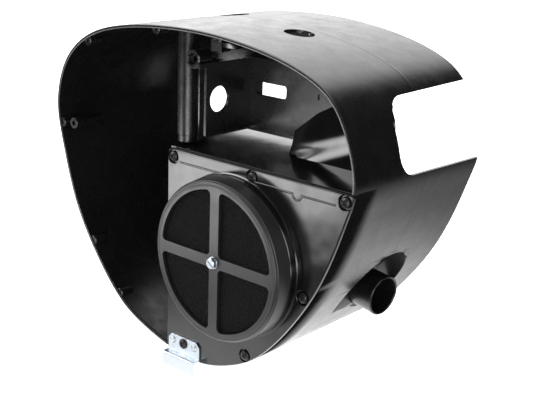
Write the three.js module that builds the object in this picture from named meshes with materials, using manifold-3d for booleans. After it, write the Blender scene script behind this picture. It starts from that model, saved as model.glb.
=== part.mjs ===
// Air filter housing of a small moped: an open moulded shell with an airbox, a screwed front panel,
// a round filter cover over a foam disc, an intake stub and a zinc mounting bracket.
// Millimetres, +Z up. The filter looks along -Y, out of the near rim.
import * as THREE from 'three';
import Module from 'manifold-3d';
import { mergeVertices } from 'three/addons/utils/BufferGeometryUtils.js';

const wasm = await Module();
wasm.setup();

// ---- driving dimensions, in the filter frame: filter axis at x = 0, z = 0, near rim at y = 0 ----
const DEPTH = 174.5;              // near rim to far rim
const WALL = 3;                   // shell wall
const THIN_WALL = 2.5;            // airbox and plates
const GAP = 0.2;                  // clearance between neighbouring pieces

// control points (x, z) of the shell's outline, a closed smooth curve
const OUTLINE = [
  [-223.5, 94.4], [-208.1, 135.0], [-167.7, 163.1], [-50.1, 177.2], [59.7, 160.9], [96.7, 139.0],
  [117.7, 86.0], [109.3, 49.8], [82.0, -14.7], [35.1, -75.7], [2.5, -97.2], [-44.0, -108.6],
  [-119.1, -90.4], [-150.0, -68.7], [-194.6, -10.1], [-215.9, 48.5],
];
const OUTLINE_STEPS = 80;

// airbox: front box, left rear box and lower rear box share one cavity
const AIRBOX = {
  left: -76, top: 77, frontDepth: 53.6, passageX: 14, rearDepth: 98, lowTop: 9, lowDepth: 140,
};
const PANEL = { left: -76, top: 76, thick: 3, opening: 58, collarIn: 60.5, collarOut: 67.4, collarHigh: 6.5 };
const GASKET = { front: 3.1, back: 4.1 };
const FLANGE_Y = 4.2;             // front edge of the airbox and of the shell's cut-back rim

const COVER = { face: 66, foot: 67.7, high: 22, footY: -8.4, skin: 2.6 };
const WINDOW = { radius: 59.4, bar: 9.4, corner: 4 };
const FOAM = { radius: 62, neck: 60.2, front: -19.2, neckY: -6.8, back: -1.2 };
const GRID = { radius: 57.6, ring: 5, bar: 5, front: -0.9, back: 2.4, hub: 7 };
const SEAL = { inner: 62.4, outer: 67.2, front: -8.2, back: -6.7 };
const SCREW = {
  head: 4.7, headHigh: 2.8, shank: 2, tip: 9, washer: 5, washerBore: 2.4, washerThick: 0.9,
};
const HEX_LENGTH = 100;           // long enough to cut the head's flats

// pan-head panel screws (x, z)
const PANEL_SCREWS = [[-69.6, 69.6], [18.4, 69.8], [109.2, 69.9], [74.2, -14.6], [16.3, -82.9]];
const PAN = { head: 4.5, high: 2.5, shank: 1.9, length: 13, seat: 1, seatRadius: 5.9 };
const INSERT = { outer: 3.1, inner: 2.1, front: 4.6, back: 12.6 };
const BOSS = { radius: 5.6, back: 17 };

// intake stub on an inclined axis, standing in a round pocket of the shell
const STUB = {
  mouth: [84.3, 97, -37.7], yaw: -4, pitch: -6, outer: 17.5, inner: 15.6, long: 31, flange: 21,
};
const POCKET = { radius: 39.5, floor: 24, wall: 2.5 };

const NOTCH = { nearY: 57.5, lower: 78.4, upper: 137.4, corner: 20 };
const BACK_WALL = { front: 165, back: 168, right: 2 };
const BACK_WINDOW = { left: -192, right: -60, bottom: 61, top: 112, corner: 12 };
const TOP_HOLES = [[-2, 76, 12.9], [-113, 117, 14]];
const TOWER = { x: -73.6, y: 21, radius: 9.1, wall: 2, bottom: 79.5, top: 172.6 };
const TOWER_BOSS = { x: -54.5, z: 152, radius: 7.8, bore: 2.6, front: 6 };
const SIDE_BOSS = { x: -205.5, z: 73.5, radius: 5.2, bore: 2.2, front: 4, back: 34 };
const LUGS = [[-180.5, 152.5], [-93, 172.5], [-24, 171.8], [-218.5, 72.5], [-177.5, -32.5], [-141.5, -74.5]];
const LUG = { radius: 4.6, front: 1.2, back: 14 };

// L-shaped plate for the electrics: a leg along Y and a leg along X
const PLATE = { x: -44, nearY: 12, farY: 66, bottom: 89.5, top: 147, right: 99 };
const PLATE_HOLE = { y: 27.5, z: 118.5, radius: 10.9 };
const PLATE_SLOT = { left: -39, right: -5, bottom: 118.8, top: 130.4 };
const HOOD = {
  front: 54, left: 11, right: 120, arc: [[9.5, 99.5], [29.5, 116.5], [56, 131.5], [82, 142.5]],
};

const BRACKET = { left: -72, right: -34.5, top: -89.5, bend: -104.8, ledge: 7.2, foot: -117, thick: 1.5 };
const RIVETS = [[-66.6, -95], [-40.4, -95]];
const BRACKET_SCREW = [-53.5, -95];

// the origin moves to the middle of the bottom of the box around everything
const ORIGIN = [52.99, -74.2, 117];

// ---- materials ----
function plastic(name, colour, roughness) {
  const material = new THREE.MeshStandardMaterial({ color: colour, roughness, metalness: 0 });
  material.name = name;
  return material;
}
function metal(name, colour, roughness) {
  const material = new THREE.MeshStandardMaterial({ color: colour, roughness, metalness: 1 });
  material.name = name;
  return material;
}
const SHELL_BLACK = plastic('shell_black', 0x17181a, 0.32);
const PANEL_BLACK = plastic('panel_black', 0x1a1b1d, 0.22);
const COVER_BLACK = plastic('cover_black', 0x1d1e20, 0.42);
const FOAM_BLACK = plastic('foam_black', 0x0c0c0d, 0.95);
const RUBBER_BLACK = plastic('rubber_black', 0x101011, 0.8);
const ZINC = metal('zinc', 0xc9d2dc, 0.3);
const BLACK_STEEL = metal('black_steel', 0x1b1c1f, 0.38);
const BRASS = metal('brass', 0xb08d4a, 0.35);

// ---- solids ----
function toManifold(geometry) {
  const bare = geometry.clone();
  bare.deleteAttribute('normal');
  bare.deleteAttribute('uv');
  const merged = mergeVertices(bare, 1e-4);
  const build = (indices) => new wasm.Manifold(new wasm.Mesh({
    numProp: 3,
    vertProperties: new Float32Array(merged.attributes.position.array),
    triVerts: new Uint32Array(indices),
  }));
  const indices = Array.from(merged.index.array);
  const solid = build(indices);
  if (solid.volume() > 0) return solid;
  const flipped = [];
  for (let i = 0; i < indices.length; i += 3) flipped.push(indices[i], indices[i + 2], indices[i + 1]);
  return build(flipped);
}

function toMesh(name, solid, material) {
  const data = solid.getMesh();
  const geometry = new THREE.BufferGeometry();
  geometry.setAttribute('position', new THREE.BufferAttribute(new Float32Array(data.vertProperties), 3));
  geometry.setIndex(new THREE.BufferAttribute(new Uint32Array(data.triVerts), 1));
  const flat = geometry.toNonIndexed();
  flat.translate(...ORIGIN);
  flat.computeVertexNormals();
  const mesh = new THREE.Mesh(flat, material);
  mesh.name = name;
  return mesh;
}

const join = (first, ...rest) => rest.reduce((sum, next) => sum.add(next), first);
const cut = (first, ...rest) => rest.reduce((sum, next) => sum.subtract(next), first);

function box(x0, x1, y0, y1, z0, z1) {
  const geometry = new THREE.BoxGeometry(x1 - x0, y1 - y0, z1 - z0);
  geometry.translate((x0 + x1) / 2, (y0 + y1) / 2, (z0 + z1) / 2);
  return toManifold(geometry);
}

// prism along Y from a closed list of (x, z) points
function prism(points, y0, y1) {
  const shape = new THREE.Shape(points.map(([x, z]) => new THREE.Vector2(x, z)));
  const geometry = new THREE.ExtrudeGeometry(shape, { depth: y1 - y0, bevelEnabled: false });
  geometry.rotateX(Math.PI / 2);
  geometry.translate(0, y1, 0);
  return toManifold(geometry);
}

function rod(x, z, radius, y0, y1, segments = 20) {
  const geometry = new THREE.CylinderGeometry(radius, radius, y1 - y0, segments);
  geometry.translate(x, (y0 + y1) / 2, z);
  return toManifold(geometry);
}

function post(x, y, radius, z0, z1, segments = 32) {
  const geometry = new THREE.CylinderGeometry(radius, radius, z1 - z0, segments);
  geometry.rotateX(Math.PI / 2);
  geometry.translate(x, y, (z0 + z1) / 2);
  return toManifold(geometry);
}

// turned about the filter axis from a closed list of (radius, y) points
function turned(points, segments = 48) {
  const loop = [...points, points[0]].map(([r, y]) => new THREE.Vector2(r, y));
  return toManifold(new THREE.LatheGeometry(loop, segments));
}

// turned about a screw axis at (x, z); the profile starts and ends on the axis
function stem(x, z, points, segments = 16) {
  const profile = points.map(([r, y]) => new THREE.Vector2(r, y));
  const geometry = new THREE.LatheGeometry(profile, segments);
  geometry.translate(x, 0, z);
  return toManifold(geometry);
}

// ---- the shell's outline ----
const curve = new THREE.CatmullRomCurve3(OUTLINE.map(([x, z]) => new THREE.Vector3(x, z, 0)), true);

function outline(inset) {
  const points = [];
  for (let i = 0; i < OUTLINE_STEPS; i += 1) {
    const t = i / OUTLINE_STEPS;
    const at = curve.getPoint(t);
    const along = curve.getTangent(t);
    points.push([at.x + along.y * inset, at.y - along.x * inset]);
  }
  return points;
}

const outer = prism(outline(0), 0, DEPTH);

// ---- stub and pocket on their own axis, distance 0 at the mouth and negative inwards ----
const RIGHT_ANGLE = Math.PI / 2;
function onStubAxis(radius, from, to, segments = 40) {
  const geometry = new THREE.CylinderGeometry(radius, radius, to - from, segments);
  geometry.rotateZ(-RIGHT_ANGLE);
  geometry.translate((from + to) / 2, 0, 0);
  geometry.rotateY(THREE.MathUtils.degToRad(-STUB.pitch));
  geometry.rotateZ(THREE.MathUtils.degToRad(STUB.yaw));
  geometry.translate(...STUB.mouth);
  return toManifold(geometry);
}

function notchShape() {
  const shape = new THREE.Shape();
  const { nearY, lower, upper, corner } = NOTCH;
  const far = DEPTH + 5;
  shape.moveTo(far, lower - 3);
  shape.lineTo(nearY + corner, lower);
  shape.absarc(nearY + corner, lower + corner, corner, -RIGHT_ANGLE, -Math.PI, true);
  shape.absarc(nearY + corner, upper - corner, corner, Math.PI, RIGHT_ANGLE, true);
  shape.lineTo(far, upper + 1);
  return shape;
}

function notch() {
  const options = { depth: 80, bevelEnabled: false, curveSegments: 8 };
  const geometry = new THREE.ExtrudeGeometry(notchShape(), options);
  geometry.rotateX(RIGHT_ANGLE);
  geometry.rotateZ(RIGHT_ANGLE);
  geometry.translate(70, 0, 0);
  return toManifold(geometry);
}

// wall across the far side of the left bay, with one wide window
function backWall() {
  const { front, back, right } = BACK_WALL;
  const { left, right: windowRight, bottom, top, corner } = BACK_WINDOW;
  const wall = prism(outline(WALL - 1), front, back).intersect(box(-240, right, 160, 175, -130, 190));
  const shape = new THREE.Shape();
  shape.absarc(windowRight - corner, top - corner, corner, 0, RIGHT_ANGLE, false);
  shape.absarc(left + corner, top - corner, corner, RIGHT_ANGLE, Math.PI, false);
  shape.absarc(left + corner, bottom + corner, corner, Math.PI, Math.PI * 1.5, false);
  shape.absarc(windowRight - corner, bottom + corner, corner, -RIGHT_ANGLE, 0, false);
  const points = shape.getPoints(6).map((p) => [p.x, p.y]);
  return cut(wall, prism(points, front - 5, back + 5));
}

function housingShell() {
  const inner = prism(outline(WALL), -1, DEPTH + 1);
  const cup = onStubAxis(POCKET.radius + POCKET.wall, -POCKET.floor - POCKET.wall, 40).intersect(outer);
  let shell = cut(outer, inner);
  const lugs = LUGS.map(([lugX, lugZ]) => rod(lugX, lugZ, LUG.radius, LUG.front, LUG.back, 20));
  const { x, z, radius: bossRadius, bore, front, back } = SIDE_BOSS;
  const sideBoss = rod(x, z, bossRadius, front, back, 24);
  const sideRib = box(-226, x - 3, front + 2, back, z - 1, z + 1);
  const lugRib = box(-23, -8, 3, 10, 166.5, 173);
  const inside = join(sideBoss, sideRib, lugRib, ...lugs).intersect(outer);
  shell = join(shell, cup, inside, backWall());
  shell = cut(shell, onStubAxis(POCKET.radius, -POCKET.floor, 60), onStubAxis(STUB.outer + GAP, -60, 0));
  shell = cut(shell, rod(x, z, bore, 0, 20, 16), notch());
  for (const [holeX, holeY, radius] of TOP_HOLES) {
    shell = cut(shell, post(holeX, holeY, radius, 150, 190, 40));
  }
  const rimCut = box(PANEL.left - 0.6, 130, -1, FLANGE_Y, -120, AIRBOX.top + 0.6);
  return cut(shell, rimCut);
}

// the room the airbox takes, shrunk on every side by a margin
function airboxRoom(margin, openFront) {
  const m = margin;
  const y0 = openFront ? FLANGE_Y - 2 : FLANGE_Y;
  const { left, top, frontDepth, passageX, rearDepth, lowTop, lowDepth } = AIRBOX;
  const front = box(left + m, 130, y0, frontDepth - m, -130, top - m);
  const leftRear = box(left + m, passageX - m, y0, rearDepth - m, -130, top - m);
  const lowRear = box(left + m, 130, y0, lowDepth - m, -130, lowTop - m);
  return join(front, leftRear, lowRear).intersect(prism(outline(WALL + GAP + m), 0, DEPTH));
}

// a screw post at (x, z) with a web down to the bottom wall where it stands clear of the walls
function screwPosts(y0, y1) {
  const posts = [...PANEL_SCREWS, BRACKET_SCREW].map(([x, z]) => rod(x, z, BOSS.radius, y0, y1));
  const [x, z] = BRACKET_SCREW;
  return join(...posts, box(x - 1.5, x + 1.5, y0, y1, z - 14, z - 3));
}

function airboxBody() {
  const room = airboxRoom(0, false);
  let body = cut(room, airboxRoom(THIN_WALL, true));
  body = join(body, screwPosts(FLANGE_Y, BOSS.back).intersect(room));
  for (const [x, z] of [...PANEL_SCREWS, BRACKET_SCREW]) {
    body = cut(body, rod(x, z, INSERT.outer + GAP, FLANGE_Y - 1, BOSS.back - 2.5, 20));
  }
  body = cut(body, onStubAxis(POCKET.radius + POCKET.wall + GAP, -POCKET.floor - POCKET.wall - GAP, 80));
  return cut(body, onStubAxis(STUB.flange + GAP, -STUB.long - 1, 0));
}

function intakeStub() {
  const tube = onStubAxis(STUB.outer, -STUB.long, 0);
  const back = -POCKET.floor - POCKET.wall - GAP;
  const flange = onStubAxis(STUB.flange, back - 2, back).intersect(prism(outline(WALL + GAP), 0, DEPTH));
  return cut(join(tube, flange), onStubAxis(STUB.inner, -STUB.long - 5, 5));
}

function partitionWall() {
  const arc = new THREE.SplineCurve(HOOD.arc.map(([x, z]) => new THREE.Vector2(x, z)));
  const top = arc.getPoints(10).map((p) => [p.x, p.y]);
  const foot = AIRBOX.top + GAP;
  const points = [[HOOD.left + 4, foot], [HOOD.left, foot + 8], ...top, [HOOD.right, 150], [HOOD.right, foot]];
  return prism(points, HOOD.front, HOOD.front + THIN_WALL).intersect(prism(outline(WALL + GAP), 0, DEPTH));
}

function electricsPlate() {
  const { x, nearY, farY, bottom, top, right } = PLATE;
  const sideLeg = box(x - THIN_WALL, x, nearY, farY + THIN_WALL, bottom, top);
  const backLeg = box(x - THIN_WALL, right, farY, farY + THIN_WALL, bottom, top);
  const rib = box(x - THIN_WALL, x, nearY - 8, farY, top - 1, top + THIN_WALL);
  const shelf = box(x - 36, right, farY - 30, farY + 60, top, top + THIN_WALL);
  const shelfCut = box(x, right + 1, 0, farY, top - 1, top + 5);
  let plate = join(sideLeg, backLeg, cut(shelf, shelfCut), rib);
  const hole = new THREE.CylinderGeometry(PLATE_HOLE.radius, PLATE_HOLE.radius, 20, 40);
  hole.rotateZ(RIGHT_ANGLE);
  hole.translate(x, PLATE_HOLE.y, PLATE_HOLE.z);
  const slot = box(PLATE_SLOT.left, PLATE_SLOT.right, farY - 5, farY + 10, PLATE_SLOT.bottom, PLATE_SLOT.top);
  plate = cut(plate, toManifold(hole), slot, post(TOWER.x, TOWER.y, TOWER.radius + 1, 100, 180));
  return plate.intersect(prism(outline(WALL + GAP), 0, DEPTH));
}

function coverTower() {
  const { x, y, radius, wall, bottom, top } = TOWER;
  let tower = post(x, y, radius, bottom, top);
  const boss = rod(TOWER_BOSS.x, TOWER_BOSS.z, TOWER_BOSS.radius, TOWER_BOSS.front, y, 28);
  const web = box(x, TOWER_BOSS.x, y - 6, y, TOWER_BOSS.z - 9, TOWER_BOSS.z + 5);
  tower = join(tower, boss, web);
  tower = cut(tower, post(x, y, radius - wall, bottom - 1, top + 1));
  return cut(tower, rod(TOWER_BOSS.x, TOWER_BOSS.z, TOWER_BOSS.bore, 0, y - 2, 16));
}

function airboxPanel() {
  let panel = prism(outline(GAP), 0, PANEL.thick).intersect(box(PANEL.left, 130, -1, 10, -120, PANEL.top));
  const { collarIn, collarOut, collarHigh, opening, thick } = PANEL;
  const collar = turned([[collarIn, -collarHigh], [collarOut, -collarHigh], [collarOut, 1], [collarIn, 1]]);
  panel = join(panel, collar);
  panel = cut(panel, rod(0, 0, opening, -10, 10, 48));
  for (const [x, z] of PANEL_SCREWS) {
    panel = cut(panel, rod(x, z, PAN.seatRadius, -10, PAN.seat, 24));
    panel = cut(panel, rod(x, z, PAN.shank + 0.4, -1, thick + 1, 16));
  }
  panel = cut(panel, rod(...BRACKET_SCREW, PAN.shank + 0.4, -1, thick + 1, 16));
  for (const [x, z] of RIVETS) panel = cut(panel, rod(x, z, 1.8, -1, thick + 1, 16));
  return panel;
}

function panelGasket() {
  const { front, back } = GASKET;
  const fit = box(PANEL.left + 0.5, 130, 0, 10, -120, PANEL.top - 0.5);
  const full = prism(outline(WALL - 1), front, back).intersect(fit);
  const middle = box(PANEL.left + 6, 130, 0, 10, -120, PANEL.top - 6);
  const hollow = prism(outline(WALL + 4), 0, 10).intersect(middle);
  let gasket = cut(full, hollow);
  gasket = join(gasket, screwPosts(front, back).intersect(full));
  for (const [x, z] of [...PANEL_SCREWS, BRACKET_SCREW]) {
    gasket = cut(gasket, rod(x, z, PAN.shank + 0.4, 0, 10, 16));
  }
  for (const [x, z] of RIVETS) gasket = cut(gasket, rod(x, z, 3.4, 0, 10, 16));
  return gasket;
}

// ---- filter parts on the filter axis ----
function quarterWindow(radius, halfBar, corner) {
  const reach = Math.sqrt((radius - corner) ** 2 - (halfBar + corner) ** 2);
  const turn = Math.atan2(halfBar + corner, reach);
  const shape = new THREE.Shape();
  shape.absarc(halfBar + corner, halfBar + corner, corner, Math.PI * 1.5, Math.PI, true);
  shape.absarc(halfBar + corner, reach, corner, Math.PI, RIGHT_ANGLE - turn, true);
  shape.absarc(0, 0, radius, RIGHT_ANGLE - turn, turn, true);
  shape.absarc(reach, halfBar + corner, corner, turn, -RIGHT_ANGLE, true);
  return shape;
}

function cutWindows(solid, radius, halfBar, corner, y0, y1) {
  let result = solid;
  const shape = quarterWindow(radius, halfBar, corner);
  const options = { depth: y1 - y0, bevelEnabled: false, curveSegments: 8 };
  for (let quarter = 0; quarter < 4; quarter += 1) {
    const geometry = new THREE.ExtrudeGeometry(shape, options);
    geometry.rotateX(RIGHT_ANGLE);
    geometry.translate(0, y1, 0);
    geometry.rotateY(quarter * RIGHT_ANGLE);
    result = result.subtract(toManifold(geometry));
  }
  return result;
}

function filterCover() {
  const { face, foot, high, footY, skin } = COVER;
  const body = turned([
    [3, -high], [face - 1.2, -high], [face - 0.3, -high + 0.9], [face - 0.3, -high + 2],
    [face + 0.6, -high + 2.6], [foot, footY - 1], [foot, footY], [foot - skin, footY],
    [face - skin, -high + skin + 1], [WINDOW.radius - 1, -high + skin], [3, -high + skin],
  ]);
  return cutWindows(body, WINDOW.radius, WINDOW.bar / 2, WINDOW.corner, -high - 5, -high + skin + 3);
}

function supportGrid() {
  const { radius, ring, bar, front, back, hub } = GRID;
  const disc = turned([[2.9, front], [radius, front], [radius, back], [2.9, back]]);
  const open = cutWindows(disc, radius - ring, bar / 2, 3, front - 5, back + 5);
  const boss = turned([[2.9, front], [hub, front], [hub, back + 8], [2.9, back + 8]], 32);
  const seat = rod(0, 0, INSERT.outer + GAP, back, back + 9, 20);
  return cut(join(open, boss), seat);
}

function foamElement() {
  const { radius, neck, front, neckY, back } = FOAM;
  return turned([
    [3, front], [radius - 4, front], [radius, front + 3], [radius, neckY - 0.8],
    [neck, neckY], [neck, back], [3, back],
  ]);
}

function coverSeal() {
  const { inner, outer: outside, front, back } = SEAL;
  return turned([[inner, front], [outside, front], [outside, back], [inner, back]]);
}

function coverScrew() {
  const { head, headHigh, shank, tip, washerThick } = SCREW;
  const under = -COVER.high - GAP - washerThick - GAP;
  const top = under - headHigh;
  const screw = stem(0, 0, [
    [0, top], [head - 0.8, top], [head, top + 0.7], [head, under],
    [shank, under], [shank, tip - 1], [1, tip], [0, tip],
  ]);
  const hex = new THREE.CylinderGeometry(head, head, HEX_LENGTH, 6);
  return cut(screw.intersect(toManifold(hex)), box(-head, head, top - 1, top + 0.9, -0.55, 0.55));
}

function coverWasher() {
  const back = -COVER.high - GAP;
  const { washer, washerThick, washerBore } = SCREW;
  const front = back - washerThick;
  return turned([[washerBore, front], [washer, front], [washer, back], [washerBore, back]], 32);
}

function threadedInsert(x, z, front, back) {
  return cut(rod(x, z, INSERT.outer, front, back, 16), rod(x, z, INSERT.inner, front - 1, back + 1, 16));
}

// ---- screws, rivets and bracket ----
function panScrew(x, z, seatY) {
  const { head, high, shank, length } = PAN;
  const top = seatY - high;
  const end = seatY + length;
  const body = stem(x, z, [
    [0, top], [head * 0.6, top + 0.15], [head * 0.9, top + 0.9], [head, seatY],
    [shank, seatY], [shank, end - 1.5], [0.6, end], [0, end],
  ]);
  const slotA = box(x - 2.5, x + 2.5, top - 1, top + 1.4, z - 0.5, z + 0.5);
  const slotB = box(x - 0.5, x + 0.5, top - 1, top + 1.4, z - 2.5, z + 2.5);
  return cut(body, slotA, slotB);
}

function rivet(x, z) {
  const front = -GAP - BRACKET.thick;
  const back = PANEL.thick + 0.2;
  return stem(x, z, [
    [0, front - 1.3], [2, front - 1.1], [3.2, front - 0.1], [3.2, front - 0.05], [1.6, front - 0.05],
    [1.6, back], [2.8, back], [2.8, back + 0.9], [0, back + 1.2],
  ]);
}

function mountingBracket() {
  const { left, right, top, bend, ledge, foot, thick } = BRACKET;
  const front = -GAP - thick;
  const corner = 4;
  const face = [
    [left + corner, top], [left, top - corner], [left, bend],
    [right, bend], [right, top - corner], [right - corner, top],
  ];
  const plate = prism(face, front, -GAP);
  const shelf = box(left, right, front - ledge, -GAP, bend - thick, bend);
  const lip = box(left, right, front - ledge, front - ledge + thick, foot, bend);
  let bracket = join(plate, shelf, lip);
  bracket = cut(bracket, rod(...BRACKET_SCREW, PAN.shank + 0.4, -20, 5, 20));
  for (const [x, z] of RIVETS) bracket = cut(bracket, rod(x, z, 1.8, -20, 5, 16));
  return bracket;
}

// ---- assembly ----
const housing = new THREE.Group();
housing.name = 'air_filter_housing';
const put = (name, solid, material) => housing.add(toMesh(name, solid, material));

put('housing_shell', housingShell(), SHELL_BLACK);
put('airbox_body', airboxBody(), SHELL_BLACK);
put('partition_wall', partitionWall(), SHELL_BLACK);
put('electrics_plate', electricsPlate(), SHELL_BLACK);
put('cover_tower', coverTower(), SHELL_BLACK);
put('intake_stub', intakeStub(), SHELL_BLACK);
put('airbox_panel', airboxPanel(), PANEL_BLACK);
put('panel_gasket', panelGasket(), RUBBER_BLACK);
put('foam_support_grid', supportGrid(), COVER_BLACK);
put('foam_element', foamElement(), FOAM_BLACK);
put('cover_seal', coverSeal(), RUBBER_BLACK);
put('filter_cover', filterCover(), COVER_BLACK);
put('cover_screw_washer', coverWasher(), ZINC);
put('cover_screw', coverScrew(), ZINC);
put('cover_screw_insert', threadedInsert(0, 0, GRID.back + 0.6, GRID.back + 8), BRASS);
PANEL_SCREWS.forEach(([x, z], i) => {
  put(`panel_screw_${i + 1}`, panScrew(x, z, PAN.seat - 0.05), BLACK_STEEL);
  put(`panel_insert_${i + 1}`, threadedInsert(x, z, INSERT.front, INSERT.back), BRASS);
});
put('mounting_bracket', mountingBracket(), ZINC);
put('bracket_rivet_left', rivet(...RIVETS[0]), ZINC);
put('bracket_rivet_right', rivet(...RIVETS[1]), ZINC);
put('bracket_screw', panScrew(...BRACKET_SCREW, -GAP - BRACKET.thick - 0.05), BLACK_STEEL);
put('bracket_insert', threadedInsert(...BRACKET_SCREW, INSERT.front, INSERT.back), BRASS);

export default housing;
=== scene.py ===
# Air filter housing of a small moped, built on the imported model's frame.
# Shapes are made in millimetres about the filter axis (x = 0, z = 0) with the near rim at y = 0,
# and each finished piece is moved to the row frame in metres.
import math

import bmesh
import bpy
from mathutils import Matrix, Vector, noise


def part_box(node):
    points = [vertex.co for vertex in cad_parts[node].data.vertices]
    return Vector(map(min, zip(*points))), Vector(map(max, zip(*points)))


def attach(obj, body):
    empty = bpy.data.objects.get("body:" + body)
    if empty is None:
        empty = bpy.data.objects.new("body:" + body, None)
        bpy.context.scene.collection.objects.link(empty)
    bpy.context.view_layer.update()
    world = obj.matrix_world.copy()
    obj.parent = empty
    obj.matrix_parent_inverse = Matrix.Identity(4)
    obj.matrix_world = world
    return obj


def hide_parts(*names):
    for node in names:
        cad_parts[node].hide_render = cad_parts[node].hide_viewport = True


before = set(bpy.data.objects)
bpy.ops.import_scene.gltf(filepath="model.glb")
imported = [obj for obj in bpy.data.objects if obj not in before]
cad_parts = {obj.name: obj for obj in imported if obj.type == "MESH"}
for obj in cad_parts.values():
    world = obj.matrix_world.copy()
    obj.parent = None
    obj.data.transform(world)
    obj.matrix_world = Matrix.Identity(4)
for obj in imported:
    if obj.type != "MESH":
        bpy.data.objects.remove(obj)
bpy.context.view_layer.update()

MM = 0.001
cover_low, cover_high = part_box("filter_cover")
AXIS = (cover_low + cover_high) / 2
NEAR_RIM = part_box("housing_shell")[0].y
TO_ROW = Matrix.Translation((AXIS.x, NEAR_RIM, AXIS.z)) @ Matrix.Scale(MM, 4)

# ---- driving dimensions, in millimetres ----
DEPTH = 174.5
WALL = 3.0
SKIN = 0.15                    # the outline is drawn this far inside the CAD box
OUTLINE = [
    (-223.5, 94.4), (-208.1, 135.0), (-167.7, 163.1), (-50.1, 177.2), (59.7, 160.9), (96.7, 139.0),
    (117.7, 86.0), (109.3, 49.8), (82.0, -14.7), (35.1, -75.7), (2.5, -97.2), (-44.0, -108.6),
    (-119.1, -90.4), (-150.0, -68.7), (-194.6, -10.1), (-215.9, 48.5),
]
STEPS_PER_SPAN = 24
PARTING_Y = 98.0               # where the two halves of the mould meet
FLANGE_Y = 4.2

PANEL = dict(left=-76.0, top=76.0, thick=3.0, opening=58.0, collar_in=60.5, collar_out=67.4, high=6.5)
PANEL_BEAD = dict(left=-62, right=101, z=66.4, half=1.1, dip=64.4, dip_radius=4.4)
PANEL_SCREWS = [(-69.6, 69.6), (18.4, 69.8), (109.2, 69.9), (74.2, -14.6), (16.3, -82.9)]
BRACKET_SCREW = (-53.5, -95.0)
RIVETS = [(-66.6, -95.0), (-40.4, -95.0)]
SCREW_SEAT = 5.9
WASHER_THICK = 0.9

COVER = dict(face=66.0, foot=67.7, high=22.0, foot_y=-8.4, skin=2.6)
WINDOW = dict(radius=59.4, half_bar=4.7, corner=4.0)
FOAM = dict(radius=61.8, neck=60.0, front=-19.3, neck_y=-6.8, back=-1.3)

STUB_MOUTH = Vector((84.3, 97.0, -37.7))
STUB_YAW, STUB_PITCH = -4.0, -6.0
STUB = dict(outer=17.5, inner=15.6, long=31.0, flange=21.0)
POCKET = dict(radius=39.5, floor=24.0, wall=2.5)

NOTCH = dict(near=57.5, lower=78.4, upper=137.4, corner=20.0)
BACK_WALL = dict(front=165.0, back=168.0, right=2.0)
BACK_WINDOW = dict(left=-192.0, right=-60.0, bottom=61.0, top=105.5, corner=12.0)
TOP_HOLES = [(-2.0, 76.0, 12.9), (-113.0, 117.0, 14.0)]        # x, y, radius
LUGS = [(-180.5, 152.5), (-93.0, 172.5), (-24.0, 171.8), (-218.5, 72.5), (-177.5, -32.5), (-141.5, -74.5)]
LUG_RADIUS = 4.6
SIDE_BOSS = dict(x=-205.5, z=73.5, radius=5.2, bore=2.2, front=4.0, back=34.0)
SIDE_RIB = dict(left=-222.5, half=1.0)
LUG_BLOCK = (-30, -18.5, 2.2, 12, 162.5, 172)                  # block and rib beside the middle lug
LUG_RIB = (-19, -4, 3, 10, 166.5, 170)
RIM_CUT_TOP = 77.6             # the rim is set back by the flange below this height
TOWER = dict(x=-73.6, y=21.0, radius=9.1, wall=2.0, bottom=79.5, top=172.4)
TOWER_BOSS = dict(x=-54.5, z=152.0, radius=7.8, bore=2.6, recess=5.2, front=6.0)

PLATE = dict(x=-44.0, near=12.0, far=66.0, bottom=89.5, top=147.0, right=99.0, thick=2.5)
PLATE_HOLE = dict(y=27.5, z=118.5, radius=10.9)
PLATE_PINHOLE = dict(y=50.4, z=112.1, radius=1.2)
PLATE_SLOT = dict(left=-39.0, right=-5.0, bottom=118.8, top=130.4, corner=3.5)
PLATE_NICK = dict(left=28, right=30.2, bottom=124, top=129, corner=1.0)
SHELF = dict(left=36, front=30, back=60)       # how far it goes past the plate's corner
HOOD_ARC = [(9.5, 99.5), (29.5, 116.5), (56.0, 131.5), (82.0, 142.5), (110.0, 151.0)]
HOOD_SPAN = (6, 102)           # left edge and width
HOOD_Y = (53.0, 66.4)
HOOD_FOOT, HOOD_THICK = 73.5, 1.2
HOOD_START, HOOD_RISE = 20.0, 0.4     # the steepest band leaves the airbox at this x, with this slope
HOOD_BAND, HOOD_LEAN = 9.5, 7.0        # half height of the band, and how far it sweeps back

BRACKET = dict(left=-72.0, right=-34.5, top=-89.5, bend=-104.8, ledge=7.2, foot=-117.0, thick=1.5)
GAP = 0.2
BRACKET_FRONT = -GAP - BRACKET["thick"]


# ---- mesh helpers ----
def new_mesh(points, faces):
    mesh = bpy.data.meshes.new("made")
    mesh.from_pydata([tuple(p) for p in points], [], faces)
    mesh.validate()
    return mesh


def outward(mesh):
    """Merge doubles and turn every face outwards."""
    bm = bmesh.new()
    bm.from_mesh(mesh)
    bmesh.ops.remove_doubles(bm, verts=bm.verts, dist=1e-4)
    bmesh.ops.recalc_face_normals(bm, faces=bm.faces)
    bm.to_mesh(mesh)
    bm.free()
    return mesh


def skinned(rings, closed_along=False, capped=False):
    """Quads between rings of equally many points; capped closes the two end rings."""
    count = len(rings[0])
    points = [p for ring in rings for p in ring]
    spans = len(rings) if closed_along else len(rings) - 1
    faces = []
    for i in range(spans):
        a, b = i * count, ((i + 1) % len(rings)) * count
        for j in range(count):
            k = (j + 1) % count
            faces.append((a + j, a + k, b + k, b + j))
    if capped:
        faces.append(tuple(range(count)))
        faces.append(tuple(range(len(points) - count, len(points))))
    return outward(new_mesh(points, faces))


def box(x0, x1, y0, y1, z0, z1):
    ring = [(x0, z0), (x1, z0), (x1, z1), (x0, z1)]
    return skinned([[(x, y, z) for x, z in ring] for y in (y0, y1)], capped=True)


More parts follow.
